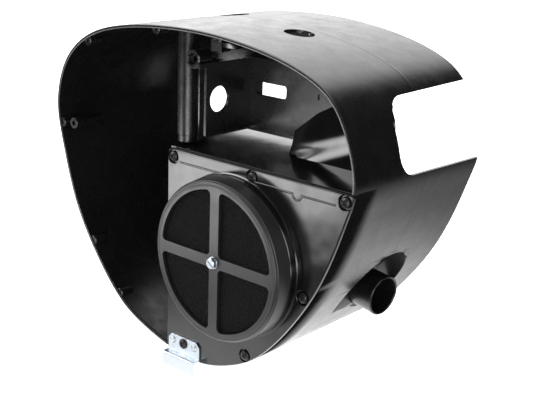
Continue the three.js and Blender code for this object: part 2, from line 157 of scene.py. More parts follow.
def prism(points, y0, y1):
    """Prism along Y from a closed list of (x, z)."""
    return skinned([[(x, y, z) for x, z in points] for y in (y0, y1)], capped=True)


def turned(profile, steps=96, open_ended=False):
    """Turned about the Y axis from (radius, y) points; a closed loop unless open_ended."""
    rings = []
    for radius, y in profile:
        angles = [2 * math.pi * i / steps for i in range(steps)]
        rings.append([(radius * math.cos(a), y, radius * math.sin(a)) for a in angles])
    return skinned(rings, closed_along=not open_ended)


def moved(mesh, x=0.0, y=0.0, z=0.0):
    mesh.transform(Matrix.Translation((x, y, z)))
    return mesh


def upright(mesh):
    """From an axis along Y to an axis along Z."""
    mesh.transform(Matrix.Rotation(math.radians(90), 4, "X"))
    return mesh


def rod(radius, y0, y1, steps=40, soft=0.0):
    """Cylinder along Y with both ends eased by soft."""
    start = [(0, y0), (radius - soft, y0), (radius, y0 + soft)]
    end = [(radius, y1 - soft), (radius - soft, y1), (0, y1)]
    return turned(start + end, steps, open_ended=True)


def gathered(*meshes):
    """One mesh that holds all of these."""
    bm = bmesh.new()
    for mesh in meshes:
        bm.from_mesh(mesh)
    mesh = bpy.data.meshes.new("gathered")
    bm.to_mesh(mesh)
    bm.free()
    return mesh


def combined(mesh, *others, operation="DIFFERENCE"):
    """Boolean of a mesh with each of the others in turn."""
    body = bpy.data.objects.new("body", mesh)
    bpy.context.scene.collection.objects.link(body)
    tools = []
    for other in others:
        tool = bpy.data.objects.new("tool", other)
        bpy.context.scene.collection.objects.link(tool)
        tools.append(tool)
        step = body.modifiers.new("step", "BOOLEAN")
        step.operation = operation
        step.solver = "EXACT"
        step.object = tool
    graph = bpy.context.evaluated_depsgraph_get()
    result = bpy.data.meshes.new_from_object(body.evaluated_get(graph))
    for made in [body, *tools]:
        bpy.data.objects.remove(made)
    return result


def eased(mesh, width, angle=50.0, segments=2):
    """Bevel every edge sharper than angle."""
    body = bpy.data.objects.new("body", mesh)
    bpy.context.scene.collection.objects.link(body)
    step = body.modifiers.new("ease", "BEVEL")
    step.width = width
    step.segments = segments
    step.limit_method = "ANGLE"
    step.angle_limit = math.radians(angle)
    step.miter_outer = "MITER_ARC"
    graph = bpy.context.evaluated_depsgraph_get()
    result = bpy.data.meshes.new_from_object(body.evaluated_get(graph))
    bpy.data.objects.remove(body)
    return result


def shaded(mesh, angle=34.0):
    """Smooth shading that keeps edges sharper than angle and lets large faces stay true."""
    mesh.shade_smooth()
    mesh.set_sharp_from_angle(angle=math.radians(angle))
    body = bpy.data.objects.new("body", mesh)
    bpy.context.scene.collection.objects.link(body)
    step = body.modifiers.new("normals", "WEIGHTED_NORMAL")
    step.keep_sharp = True
    step.weight = 50
    graph = bpy.context.evaluated_depsgraph_get()
    result = bpy.data.meshes.new_from_object(body.evaluated_get(graph))
    bpy.data.objects.remove(body)
    return result


def piece(name, mesh, material, body="housing", nodes=None):
    """Place a finished mesh in the row frame, on its body, in place of its CAD nodes."""
    mesh.transform(TO_ROW)
    mesh.materials.clear()
    mesh.materials.append(material)
    made = bpy.data.objects.new(name, mesh)
    bpy.context.scene.collection.objects.link(made)
    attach(made, body)
    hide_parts(*(nodes or [name.removesuffix("_visual")]))
    return made


# ---- the shell's outline: a closed centripetal Catmull-Rom curve ----
def curve_point(p0, p1, p2, p3, t):
    gaps = [max(math.dist(a, b) ** 0.5, 1e-6) for a, b in ((p0, p1), (p1, p2), (p2, p3))]
    result = []
    for a, b, c, d in zip(p0, p1, p2, p3):
        start = ((b - a) / gaps[0] - (c - a) / (gaps[0] + gaps[1]) + (c - b) / gaps[1]) * gaps[1]
        end = ((c - b) / gaps[1] - (d - b) / (gaps[1] + gaps[2]) + (d - c) / gaps[2]) * gaps[1]
        result.append(b + start * t + (3 * (c - b) - 2 * start - end) * t * t
                      + (2 * (b - c) + start + end) * t ** 3)
    return result


def outline_points():
    count = len(OUTLINE)
    points = []
    for i in range(count):
        around = [OUTLINE[(i + k) % count] for k in (-1, 0, 1, 2)]
        for step in range(STEPS_PER_SPAN):
            points.append(curve_point(*around, step / STEPS_PER_SPAN))
    return points


def eased_loop(points, rounds=6):
    """Even out the curvature of a closed loop."""
    for _ in range(rounds):
        count = len(points)
        points = [
            ((points[i - 1][0] + 2 * p[0] + points[(i + 1) % count][0]) / 4,
             (points[i - 1][1] + 2 * p[1] + points[(i + 1) % count][1]) / 4)
            for i, p in enumerate(points)
        ]
    return points


def inset(points, distance):
    """A closed clockwise loop of (x, z) moved inwards."""
    count = len(points)
    result = []
    for i, (x, z) in enumerate(points):
        before, after = points[i - 1], points[(i + 1) % count]
        dx, dz = after[0] - before[0], after[1] - before[1]
        length = math.hypot(dx, dz) or 1.0
        result.append((x + dz / length * distance, z - dx / length * distance))
    return result


LOOP = eased_loop(outline_points())


# ---- stub axis: distance 0 at the mouth, negative inwards ----
def on_stub_axis(mesh):
    """From the Y axis to the stub's axis, +Y of the mesh pointing out of the mouth."""
    yaw, pitch = math.radians(STUB_YAW), math.radians(-STUB_PITCH)
    turn = Matrix.Rotation(yaw, 4, "Z") @ Matrix.Rotation(pitch, 4, "Y")
    along_x = Matrix.Rotation(math.radians(-90), 4, "Z")
    mesh.transform(Matrix.Translation(STUB_MOUTH) @ turn @ along_x)
    return mesh


# ---- materials ----
class Nodes:
    """A material with a Principled shader and short calls for its nodes."""

    def __init__(self, name, colour, roughness, metallic=0.0):
        self.material = bpy.data.materials.new(name)
        self.material.use_nodes = True
        self.tree = self.material.node_tree
        self.shader = self.tree.nodes["Principled BSDF"]
        self.shader.inputs["Base Color"].default_value = (*colour, 1)
        self.shader.inputs["Roughness"].default_value = roughness
        self.shader.inputs["Metallic"].default_value = metallic
        self.place = self.tree.nodes.new("ShaderNodeTexCoord").outputs["Object"]

    def noise(self, scale, detail=3.0, rough=0.5, stretch=None):
        node = self.tree.nodes.new("ShaderNodeTexNoise")
        node.inputs["Scale"].default_value = scale
        node.inputs["Detail"].default_value = detail
        node.inputs["Roughness"].default_value = rough
        where = self.place
        if stretch:
            mapping = self.tree.nodes.new("ShaderNodeMapping")
            mapping.inputs["Scale"].default_value = stretch
            self.tree.links.new(where, mapping.inputs["Vector"])
            where = mapping.outputs["Vector"]
        self.tree.links.new(where, node.inputs["Vector"])
        return node.outputs["Fac"]

    def cells(self, scale):
        node = self.tree.nodes.new("ShaderNodeTexVoronoi")
        node.inputs["Scale"].default_value = scale
        self.tree.links.new(self.place, node.inputs["Vector"])
        return node.outputs["Distance"]

    def ranged(self, value, low, high, to_low, to_high):
        node = self.tree.nodes.new("ShaderNodeMapRange")
        node.inputs["From Min"].default_value = low
        node.inputs["From Max"].default_value = high
        node.inputs["To Min"].default_value = to_low
        node.inputs["To Max"].default_value = to_high
        self.tree.links.new(value, node.inputs["Value"])
        return node.outputs["Result"]

    def bump(self, height, distance, strength=1.0, after=None):
        node = self.tree.nodes.new("ShaderNodeBump")
        node.inputs["Distance"].default_value = distance
        node.inputs["Strength"].default_value = strength
        self.tree.links.new(height, node.inputs["Height"])
        if after:
            self.tree.links.new(after, node.inputs["Normal"])
        self.tree.links.new(node.outputs["Normal"], self.shader.inputs["Normal"])
        return node.outputs["Normal"]

    def tint(self, value, dark, light):
        node = self.tree.nodes.new("ShaderNodeMix")
        node.data_type = "RGBA"
        node.inputs["A"].default_value = (*dark, 1)
        node.inputs["B"].default_value = (*light, 1)
        self.tree.links.new(value, node.inputs["Factor"])
        self.tree.links.new(node.outputs["Result"], self.shader.inputs["Base Color"])

    def set(self, socket, value):
        self.tree.links.new(value, self.shader.inputs[socket])


def moulded(name, colour, roughness, spread, wave, grain):
    """Moulded plastic: slow waviness, fine grain, and roughness that varies with flow and handling."""
    m = Nodes(name, colour, roughness)
    slow = m.noise(22, 2)
    patches = m.noise(70, 5, 0.6)
    m.set("Roughness", m.ranged(patches, 0.3, 0.7, roughness - spread, roughness + spread))
    m.tint(patches, [c * 0.75 for c in colour], [c * 1.25 for c in colour])
    first = m.bump(slow, wave)
    m.bump(m.noise(1900, 2, 0.6), grain, after=first)
    return m.material


def foam_material():
    m = Nodes("open_cell_foam", (0.012, 0.012, 0.012), 0.95)
    pores = m.cells(620)
    fine = m.noise(1500, 3, 0.7)
    m.tint(m.ranged(fine, 0.46, 0.66, 0, 1), (0.0008, 0.0008, 0.0008), (0.02, 0.02, 0.02))
    first = m.bump(pores, 0.0016)
    m.bump(fine, 0.0009, after=first)
    m.shader.inputs["Specular IOR Level"].default_value = 0.12
    return m.material


def zinc_material():
    m = Nodes("zinc_plate", (0.4, 0.44, 0.48), 0.35, metallic=1.0)
    clouds = m.noise(160, 5, 0.65)
    brushed = m.noise(260, 3, 0.6, stretch=(1, 6, 22))
    m.tint(clouds, (0.36, 0.4, 0.44), (0.5, 0.53, 0.56))
    m.set("Roughness", m.ranged(clouds, 0.3, 0.7, 0.27, 0.45))
    first = m.bump(brushed, 0.00006)
    m.bump(clouds, 0.00012, after=first)
    return m.material


def black_steel_material():
    m = Nodes("black_oxide_steel", (0.02, 0.02, 0.022), 0.32, metallic=0.6)
    patches = m.noise(900, 4, 0.6)
    m.set("Roughness", m.ranged(patches, 0.3, 0.7, 0.24, 0.46))
    m.bump(m.noise(3000, 2), 0.00003)
    return m.material


def brass_material():
    m = Nodes("brass", (0.6, 0.45, 0.2), 0.35, metallic=1.0)
    turned_marks = m.noise(700, 3, 0.6, stretch=(1, 12, 1))
    m.set("Roughness", m.ranged(turned_marks, 0.3, 0.7, 0.25, 0.45))
    m.bump(turned_marks, 0.00004)
    return m.material


def rubber_material():
    m = Nodes("soft_rubber", (0.012, 0.012, 0.012), 0.75)
    dust = m.noise(500, 4, 0.7)
    m.set("Roughness", m.ranged(dust, 0.3, 0.7, 0.65, 0.85))
    m.bump(dust, 0.00005)
    return m.material


SHELL_PLASTIC = moulded("shell_plastic_black", (0.0055, 0.0055, 0.006), 0.27, 0.05, 0.0006, 0.00001)
# darker copy of the shell's black plastic: its lower base colour is painted shade for the airbox and
# partition deep inside the housing; its lower roughness is the real smoother finish
SHADED_INNER_PLASTIC = moulded("inner_plastic_black_painted_shade", (0.004, 0.004, 0.0045), 0.12, 0.02, 0.0002, 0.000004)
PANEL_PLASTIC = moulded("panel_plastic_black", (0.005, 0.005, 0.0055), 0.17, 0.04, 0.0012, 0.000006)
COVER_PLASTIC = moulded("cover_plastic_black", (0.014, 0.014, 0.015), 0.36, 0.05, 0.0002, 0.00003)
FOAM_BLACK = foam_material()
ZINC = zinc_material()
BLACK_STEEL = black_steel_material()
BRASS = brass_material()
RUBBER = rubber_material()


# ---- housing shell ----
def shell_wall():
    """The outline's wall, from (distance inwards, y) around its section, with the mould's parting ridge."""
    ridge = SKIN - 0.13
    section = [
        (1.0, 0.0), (0.45, 0.2), (SKIN, 0.9), (SKIN, 1.8), (SKIN, 30), (SKIN, 60), (SKIN, PARTING_Y - 2.4),
        (SKIN, PARTING_Y - 1.2), (ridge, PARTING_Y - 0.5), (ridge, PARTING_Y + 0.5),
        (SKIN, PARTING_Y + 1.2), (SKIN, PARTING_Y + 2.4), (SKIN, 130), (SKIN, DEPTH - 1.8),
        (SKIN, DEPTH - 0.9), (0.45, DEPTH - 0.2), (1.0, DEPTH), (WALL - 1.0, DEPTH),
        (WALL - 0.3, DEPTH - 0.2), (WALL, DEPTH - 0.9), (WALL, DEPTH - 1.8), (WALL, 130), (WALL, 60),
        (WALL, 1.8), (WALL, 0.9), (WALL - 0.3, 0.2), (WALL - 1.0, 0.0),
    ]
    rings = []
    for distance, y in section:
        rings.append([(x, y, z) for x, z in inset(LOOP, distance)])
    return skinned(rings, closed_along=True)


def notch_cutter():
    near, low, high, corner = (NOTCH[k] for k in ("near", "lower", "upper", "corner"))
    far = DEPTH + 5
    shape = [(far, low - 3)]
    for centre_z, start, end in ((low + corner, 270, 180), (high - corner, 180, 90)):
        for i in range(17):
            a = math.radians(start + (end - start) * i / 16)
            shape.append((near + corner + corner * math.cos(a), centre_z + corner * math.sin(a)))
    shape.append((far, high + 1))
    return skinned([[(x, y, z) for y, z in shape] for x in (70, 150)], capped=True)


def rounded_window(left, right, bottom, top, corner, y0, y1):
    """Prism along Y of a rectangle with rounded corners."""
    shape = []
    for cx, cz, start in ((right - corner, top - corner, 0), (left + corner, top - corner, 90),
                          (left + corner, bottom + corner, 180), (right - corner, bottom + corner, 270)):
        for i in range(9):
            a = math.radians(start + 90 * i / 8)
            shape.append((cx + corner * math.cos(a), cz + corner * math.sin(a)))
    return prism(shape, y0, y1)


def back_wall():
    """Wall across the far side of the left bay, with one wide window."""
    w = BACK_WALL
    wall = combined(prism(inset(LOOP, WALL - 1), w["front"], w["back"]),
                    box(-240, w["right"], 160, 175, -130, 190), operation="INTERSECT")
    return combined(wall, rounded_window(**BACK_WINDOW, y0=160, y1=175))


def lug(x, z):
    """Round lug at the rim with a pilot hole."""
    profile = [(0, 5), (1.3, 5), (1.3, 1.6), (1.7, 1.2), (LUG_RADIUS - 0.6, 1.2), (LUG_RADIUS, 1.8),
               (LUG_RADIUS, 14), (0, 14)]
    return moved(turned(profile, 40, open_ended=True), x, 0, z)


def housing_shell():
    """The open shell with its pocket, boss, lugs, holes and notch, and the wall behind the left bay."""
    inside = prism(inset(LOOP, SKIN), 0.0, DEPTH)
    cup = on_stub_axis(rod(POCKET["radius"] + POCKET["wall"], -POCKET["floor"] - POCKET["wall"], 40, 96))
    cup = combined(cup, inside, operation="INTERSECT")
    b = SIDE_BOSS
    side_boss = moved(rod(b["radius"], b["front"], b["back"], 40, 0.4), b["x"], 0, b["z"])
    low, high = b["z"] - SIDE_RIB["half"], b["z"] + SIDE_RIB["half"]
    side_rib = box(SIDE_RIB["left"], b["x"] - 3, b["front"] + 2, b["back"], low, high)
    wall = combined(shell_wall(), cup, side_boss, side_rib, box(*LUG_BLOCK), box(*LUG_RIB), operation="UNION")
    bore = moved(rod(b["bore"], 0, 20, 24), b["x"], 0, b["z"])
    holes = [upright(rod(radius, 150, 190, 64)) for _, _, radius in TOP_HOLES]
    for hole, (x, y, _) in zip(holes, TOP_HOLES):
        moved(hole, x, y, 0)
    rim_cut = box(PANEL["left"] - 0.6, 130, -1, FLANGE_Y, -120, RIM_CUT_TOP)
    cavity = on_stub_axis(rod(POCKET["radius"], -POCKET["floor"], 60, 96))
    neck = on_stub_axis(rod(STUB["outer"] + GAP, -60, 0, 64))
    wall = combined(wall, cavity, neck, bore, notch_cutter(), rim_cut, *holes)
    wall = eased(wall, 0.45)
    lugs = gathered(*[lug(x, z) for x, z in LUGS])
    lugs = combined(lugs, prism(inset(LOOP, WALL - 0.5), 0.5, DEPTH), operation="INTERSECT")
    return shaded(gathered(wall, lugs, back_wall()))


piece("housing_shell_visual", housing_shell(), SHELL_PLASTIC)


# ---- airbox: the CAD solid with eased edges ----
def from_node(node, ease):
    """A CAD node's shape in millimetres about the filter axis, cleaned and with eased edges."""
    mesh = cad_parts[node].data.copy()
    mesh.transform(TO_ROW.inverted())
    bm = bmesh.new()
    bm.from_mesh(mesh)
    bmesh.ops.remove_doubles(bm, verts=bm.verts, dist=1e-3)
    bmesh.ops.dissolve_limit(bm, verts=bm.verts, edges=bm.edges, angle_limit=math.radians(1))
    bm.to_mesh(mesh)
    bm.free()
    return shaded(eased(mesh, ease, 35), 20)


piece("airbox_body_visual", from_node("airbox_body", 0.8), SHADED_INNER_PLASTIC)


# ---- curved partition on top of the airbox ----
def arc_height(x):
    for (x0, z0), (x1, z1) in zip(HOOD_ARC, HOOD_ARC[1:]):
        if x <= x1:
            return z0 + (z1 - z0) * (x - x0) / (x1 - x0)
    return HOOD_ARC[-1][1]


def partition():
    """A wall that sweeps back along a band rising from its foot, and ends under the plate's arc."""
    columns, rows = 60, 48
    left, wide = HOOD_SPAN
    front_y, back_y = HOOD_Y
    fall = back_y - front_y - HOOD_LEAN
    front, back = [], []
    for i in range(columns + 1):
        x = left + wide * i / columns
        top = arc_height(x)
        band = PANEL["top"] + 1 + HOOD_RISE * (x - HOOD_START)
        line = []
        for j in range(rows + 1):
            z = HOOD_FOOT + (top - HOOD_FOOT) * j / rows
            lean = (1 + math.erf((z - band) / HOOD_BAND)) / 2
            line.append((x, front_y + HOOD_LEAN * lean + fall * j / rows, z))
        front.append(line)
        back.append([(px, py + HOOD_THICK, pz) for px, py, pz in line])
    points = [p for line in front + back for p in line]
    width = rows + 1
    faces = []
    offset = len(front) * width
    for i in range(columns):
        for j in range(rows):
            a = i * width + j
            faces.append((a, a + 1, a + width + 1, a + width))
            b = a + offset
            faces.append((b, b + width, b + width + 1, b + 1))
    edge = list(range(width))
    edge += [i * width + rows for i in range(1, columns + 1)]
    edge += [columns * width + j for j in range(rows - 1, -1, -1)]
    edge += [i * width for i in range(columns - 1, 0, -1)]
    for a, b in zip(edge, edge[1:] + edge[:1]):
        faces.append((a, a + offset, b + offset, b))
    mesh = outward(new_mesh(points, faces))
    room = prism(inset(LOOP, WALL + 0.1), 0, DEPTH)
    return shaded(combined(mesh, room, operation="INTERSECT"), 40)


piece("partition_wall_visual", partition(), SHADED_INNER_PLASTIC)


# ---- electrics plate ----
def electrics_plate():
    """Side and back of an L, a shelf on top, and a pad behind the slot's left end."""
    p, thick = PLATE, PLATE["thick"]
    side = box(p["x"] - thick, p["x"], p["near"], p["far"] + thick, p["bottom"], p["top"])
    back = box(p["x"] - thick, p["right"], p["far"], p["far"] + thick, p["bottom"], p["top"])
    shelf_y, shelf_z = p["far"] + SHELF["back"], p["top"] + thick
    shelf_left = box(p["x"] - SHELF["left"], p["x"], p["far"] - SHELF["front"], shelf_y, p["top"], shelf_z)
    shelf_back = box(p["x"] - 1, p["right"], p["far"], shelf_y, p["top"], shelf_z)
    rib = box(p["x"] - thick, p["x"], p["near"] - 8, p["far"], p["top"] - 1, shelf_z)
    plate = eased(combined(side, back, shelf_left, shelf_back, rib, operation="UNION"), 0.5)
    holes = []
    for hole, steps in ((PLATE_HOLE, 64), (PLATE_PINHOLE, 24)):
        cutter = rod(hole["radius"], -10, 10, steps)
        cutter.transform(Matrix.Translation((p["x"], hole["y"], hole["z"]))
                         @ Matrix.Rotation(math.radians(90), 4, "Z"))
        holes.append(cutter)
    slot = rounded_window(**PLATE_SLOT, y0=50, y1=80)
    nick = rounded_window(**PLATE_NICK, y0=60, y1=p["far"] + 1.2)
    clear = moved(upright(rod(TOWER["radius"] + 1, 100, 180, 48)), TOWER["x"], TOWER["y"], 0)
    plate = combined(plate, *holes, slot, nick, clear)
    room = prism(inset(LOOP, WALL + 0.1), 0, DEPTH)
    plate = combined(plate, room, operation="INTERSECT")
    s = PLATE_SLOT
    pad = box(s["left"] - 3, s["left"] + 5, p["far"] + thick, p["far"] + 4, s["bottom"] - 3, s["top"] + 3)
    return shaded(gathered(plate, eased(pad, 0.5)), 25)


piece("electrics_plate_visual", electrics_plate(), SHELL_PLASTIC)


# ---- cover tower ----
def cover_tower():
    t, b = TOWER, TOWER_BOSS
    inner = t["radius"] - t["wall"]
    low, high = t["bottom"], t["top"]
    tube = [(inner, high), (t["radius"], high), (t["radius"], low + 6), (t["radius"] - 0.6, low + 5.4),
            (t["radius"] - 0.6, low), (inner, low)]
    tube = moved(upright(turned(tube, 96)), t["x"], t["y"], 0)
    front, floor_y = b["front"], b["front"] + 3.5
    boss = [(b["bore"], front + 12), (b["bore"], floor_y), (b["recess"], floor_y), (b["recess"], front + 0.6),
            (b["recess"] + 0.5, front), (b["radius"] - 0.8, front), (b["radius"], front + 0.8),
            (b["radius"], t["y"]), (b["bore"], t["y"])]
    boss = moved(turned(boss, 72), b["x"], 0, b["z"])
    web = eased(box(t["x"], b["x"], t["y"] - 6, t["y"], b["z"] - 9, b["z"] + 5), 0.5)
    core = moved(rod(b["recess"] + 1, front - 0.5, t["y"] + 1), b["x"], 0, b["z"])
    web = combined(web, core)
    return shaded(gathered(tube, boss, web))


piece("cover_tower_visual", cover_tower(), SHELL_PLASTIC)


# ---- intake stub ----
def intake_stub():
    s = STUB
    floor = -POCKET["floor"] - POCKET["wall"] - GAP
    section = [
        (s["inner"], -s["long"]), (s["inner"], -0.8), (s["inner"] + 0.5, -0.2), (s["inner"] + 0.95, 0),
        (s["outer"] - 0.5, -0.2), (s["outer"], -0.8), (s["outer"], -4), (s["outer"] - 0.3, -4.6),
        (s["outer"] - 0.3, floor), (s["flange"], floor), (s["flange"], floor - 2), (s["outer"], floor - 2),
        (s["outer"], -s["long"]),
    ]
    return shaded(on_stub_axis(turned(section, 96)))


piece("intake_stub_visual", intake_stub(), SHELL_PLASTIC)


# ---- airbox panel ----
def panel_loop():
    """The outline cut off at the panel's left and top edges, with small rounded corners."""
    left, top = PANEL["left"], PANEL["top"]
    loop = []
    for x, z in inset(LOOP, GAP + SKIN):
        if x >= left and z <= top:
            loop.append((x, z))
    start = max(range(len(loop)), key=lambda i: math.dist(loop[i], loop[i - 1]))
    loop = loop[start:] + loop[:start]
    corners = [(left, loop[-1][1]), (left, top), (loop[0][0], top)]
    fine = [loop[-1]]
    for corner in corners + [loop[0]]:
        last = fine[-1]
        count = max(2, int(math.dist(last, corner) / 2.5))
        for i in range(1, count + 1):
            x = last[0] + (corner[0] - last[0]) * i / count
            z = last[1] + (corner[1] - last[1]) * i / count
            fine.append((x, z))
    return eased_loop(loop + fine[1:-1], 3)


def bead(path, radius):
    """A low rounded line on the panel's face along (x, z) points."""
    rings = []
    for i, (x, z) in enumerate(path):
        before, after = path[max(i - 1, 0)], path[min(i + 1, len(path) - 1)]
        dx, dz = after[0] - before[0], after[1] - before[1]
        length = math.hypot(dx, dz)
        nx, nz = -dz / length, dx / length
        ring = []
        for k in range(9):
            a = math.pi * k / 8
            across = radius * math.cos(a)
            ring.append((x + nx * across, 0.05 - 0.3 * radius * math.sin(a), z + nz * across))
        rings.append(ring)
    return skinned(rings, capped=True)


def panel_bead():
    """A soft raised line along the panel's top, with a half-round dip."""
    z, middle, radius = (PANEL_BEAD[k] for k in ("z", "dip", "dip_radius"))
    path = [(PANEL_BEAD["left"], z), (0, z), (middle - radius - 1, z)]
    for i in range(13):
        a = math.radians(180 + 15 * i)
        path.append((middle + radius * math.cos(a), z + radius * math.sin(a)))
    path += [(middle + radius + 1, z), (PANEL_BEAD["right"], z)]
    return bead(path, PANEL_BEAD["half"])


def airbox_panel():
    """Sheet with the filter's opening, screw seats and a round collar for the cover."""
    p = PANEL
    loop = panel_loop()
    section = [(0.0, p["thick"]), (0.0, 1.0), (0.15, 0.5), (0.5, 0.15), (1.0, 0.0)]
    sheet = skinned([[(x, y, z) for x, z in inset(loop, d)] for d, y in section], capped=True)
    cuts = [rod(p["opening"], -10, 10, 128)]
    for x, z in PANEL_SCREWS:
        seat = [(0, 1), (4.4, 1), (4.7, 2.2), (5.3, 2.2), (SCREW_SEAT, 0.6), (SCREW_SEAT + 0.25, 0.2),
                (SCREW_SEAT + 0.7, -0.02), (SCREW_SEAT + 0.7, -3), (0, -3)]
        cuts.append(moved(turned(seat, 48, open_ended=True), x, 0, z))
        cuts.append(moved(rod(2.3, -1, 4, 24), x, 0, z))
    for x, z in [BRACKET_SCREW, *RIVETS]:
        cuts.append(moved(rod(2.0, -1, 4, 24), x, 0, z))
    sheet = combined(sheet, *cuts)
    high, inner, outer = p["high"], p["collar_in"], p["collar_out"]
    collar = [(inner, 0.5), (inner, -high + 0.8), (inner + 0.3, -high), (outer - 0.6, -high),
              (outer, -high + 0.6), (outer, -1.6), (outer + 0.5, -0.5), (outer + 1.6, 0.05),
              (outer + 1.6, 0.5)]
    return shaded(gathered(sheet, turned(collar, 160), panel_bead()))


piece("airbox_panel_visual", airbox_panel(), PANEL_PLASTIC)


# ---- filter cover ----
def window_shape(radius, half_bar, corner):
    """One quarter window: two straight sides along the bars, an arc, and rounded corners."""
    c = half_bar + corner
    reach = math.sqrt((radius - corner) ** 2 - c ** 2)
    turn = math.atan2(c, reach)
    arcs = [(c, c, corner, math.pi * 1.5, math.pi), (c, reach, corner, math.pi, math.pi / 2 - turn),
            (0, 0, radius, math.pi / 2 - turn, turn), (reach, c, corner, turn, -math.pi / 2)]
    points = []
    for x, z, r, start, end in arcs:
        count = 28 if r == radius else 9
        for i in range(count + 1):
            a = start + (end - start) * i / count
            points.append((x + r * math.cos(a), z + r * math.sin(a)))
    return points


def windowed(mesh, radius, half_bar, corner, y0, y1):
    shape = window_shape(radius, half_bar, corner)
    cutters = []
    for quarter in range(4):
        cutter = prism(shape, y0, y1)
        cutter.transform(Matrix.Rotation(math.radians(90 * quarter), 4, "Y"))
        cutters.append(cutter)
    return combined(mesh, *cutters)


def filter_cover():
    face, foot, high, foot_y, skin = (COVER[k] for k in ("face", "foot", "high", "foot_y", "skin"))
    section = [
        (3, -high), (62.2, -high), (62.5, -high + 0.25), (63.0, -high + 0.25), (63.3, -high),
        (face - 1.8, -high), (face - 1.0, -high + 0.2), (face - 0.45, -high + 0.75),
        (face - 0.25, -high + 1.5), (face - 0.25, -high + 2.0), (face + 0.2, -high + 2.3),
        (face + 0.6, -high + 3.0),
        (foot - 0.2, foot_y - 1.6), (foot, foot_y - 0.8), (foot, foot_y - 0.2), (foot - 0.3, foot_y),
        (foot - skin, foot_y), (face - skin, -high + skin + 1), (WINDOW["radius"] - 1, -high + skin),
        (3, -high + skin),
    ]
    body = turned(section, 256)
    body = windowed(body, **WINDOW, y0=-high - 5, y1=-high + skin + 3)
    return shaded(eased(body, 0.55, 60, 3), 40)


piece("filter_cover_visual", filter_cover(), COVER_PLASTIC, body="cover")


# ---- foam element ----
def foam_element():
    """Disc with a screw hole, its front face slightly swollen and rough."""
    radius, neck, front, neck_y, back = (FOAM[k] for k in ("radius", "neck", "front", "neck_y", "back"))
    step = 0.6
    bore = 2.6
    rings = [(step * i, front) for i in range(1, int((radius - 4) / step))]
    rings += [(radius - 4, front), (radius - 1.2, front + 1), (radius, front + 3.2)]
    rings += [(radius, y) for y in (-13, -10, neck_y - 0.8)]
    rings += [(neck, neck_y), (neck, back), (40, back), (bore, back), (bore, front + 0.5)]
    mesh = turned(rings, 420)
    for v in mesh.vertices:
        p = Vector(v.co)
        swell = noise.noise(p * 0.06) * 0.35 + noise.noise(p * 0.9) * 0.14 + noise.noise(p * 2.1) * 0.1
        if p.y < front + 4 and math.hypot(p.x, p.z) < radius - 2:
            v.co.y += 0.25 + swell * 0.8
    return shaded(mesh, 180)


foam = piece("foam_element_visual", foam_element(), FOAM_BLACK, body="element")


# ---- screws, washer and rivets ----
def cross_cutter(reach, width, depth, top):
    """A tapered cross for a recess, its mouth at top and its floor at depth."""
    bars = []
    for turn in (0, 90):
        rings = []
        for scale, y in ((1.15, top - 1), (1.0, top), (0.55, top + depth)):
            rings.append([(reach * scale, y, -width), (reach * scale, y, width),
                          (-reach * scale, y, width), (-reach * scale, y, -width)])
        bar = skinned(rings, capped=True)
        bar.transform(Matrix.Rotation(math.radians(turn), 4, "Y"))
        bars.append(bar)
    return bars


def pan_screw(x, z, seat_y):
    """Cross-recess pan-head screw whose head sits on seat_y."""
    head, high, shank, length = 4.5, 2.5, 1.9, 13.0
    top = seat_y - high
    dome = []
    for i in range(10):
        a = math.radians(9 * i)
        dome.append((head * 0.98 * math.sin(a), top + (high - 0.5) * (1 - math.cos(a))))
    end = seat_y + length
    profile = dome + [(head, seat_y - 0.5), (head, seat_y - 0.15), (head - 0.15, seat_y), (shank, seat_y),
                      (shank, end - 1.5), (0.6, end), (0, end)]
    body = turned(profile, 56, open_ended=True)
    body = combined(body, *cross_cutter(2.6, 0.5, 1.6, top))
    turn = 25 + 37 * (x + z) / 60
    body.transform(Matrix.Rotation(math.radians(turn), 4, "Y"))
    return moved(shaded(eased(body, 0.08, 50, 1), 38), x, 0, z)


for number, (sx, sz) in enumerate(PANEL_SCREWS, 1):
    piece(f"panel_screw_{number}_visual", pan_screw(sx, sz, 0.95), BLACK_STEEL)
bracket_screw = pan_screw(*BRACKET_SCREW, BRACKET_FRONT - 0.05)
piece("bracket_screw_visual", bracket_screw, BLACK_STEEL)


def rivet(x, z):
    """Domed head on the bracket, upset end behind the panel."""
    front, back = BRACKET_FRONT, PANEL["thick"] + 0.2
    dome = []
    for i in range(9):
        a = math.radians(10 * i)
        dome.append((3.15 * math.sin(a), front - 1.3 + 1.2 * (1 - math.cos(a))))
    profile = dome + [(3.2, front - 0.05), (1.6, front - 0.05), (1.6, back), (2.8, back), (2.8, back + 0.9),
                      (0, back + 1.2)]
    return shaded(moved(turned(profile, 48, open_ended=True), x, 0, z))


for side, (rx, rz) in zip(("left", "right"), RIVETS):
    piece(f"bracket_rivet_{side}_visual", rivet(rx, rz), ZINC)


def cover_screw():
    """Hexagon screw with a slot, its corners chamfered round."""
    under = -COVER["high"] - GAP - WASHER_THICK - GAP
    top = under - 2.8
    head = 4.7
    turned_body = turned([(0, top), (3.7, top), (head, top + 0.7), (head, under - 0.25),
                          (head - 0.3, under), (2, under), (2, 8), (1, 9), (0, 9)], 60, open_ended=True)
    corners = [math.radians(60 * i) for i in range(6)]
    hexagon = prism([(head * math.cos(a), head * math.sin(a)) for a in corners], top - 1, 10)
    body = combined(turned_body, hexagon, operation="INTERSECT")
    body = combined(body, box(-6, 6, top - 1, top + 0.9, -0.55, 0.55))
    body.transform(Matrix.Rotation(math.radians(35), 4, "Y"))
    return shaded(eased(body, 0.12, 28, 2), 30)


def cover_washer():
    back = -COVER["high"] - GAP
    front = back - WASHER_THICK
    section = [(2.4, front + 0.1), (2.5, front), (4.8, front), (5.0, front + 0.2), (5.0, back - 0.2),
               (4.8, back), (2.5, back), (2.4, back - 0.1)]
    return shaded(turned(section, 64))


piece("cover_screw_visual", cover_screw(), ZINC, body="screw")
piece("cover_screw_washer_visual", cover_washer(), ZINC, body="washer")


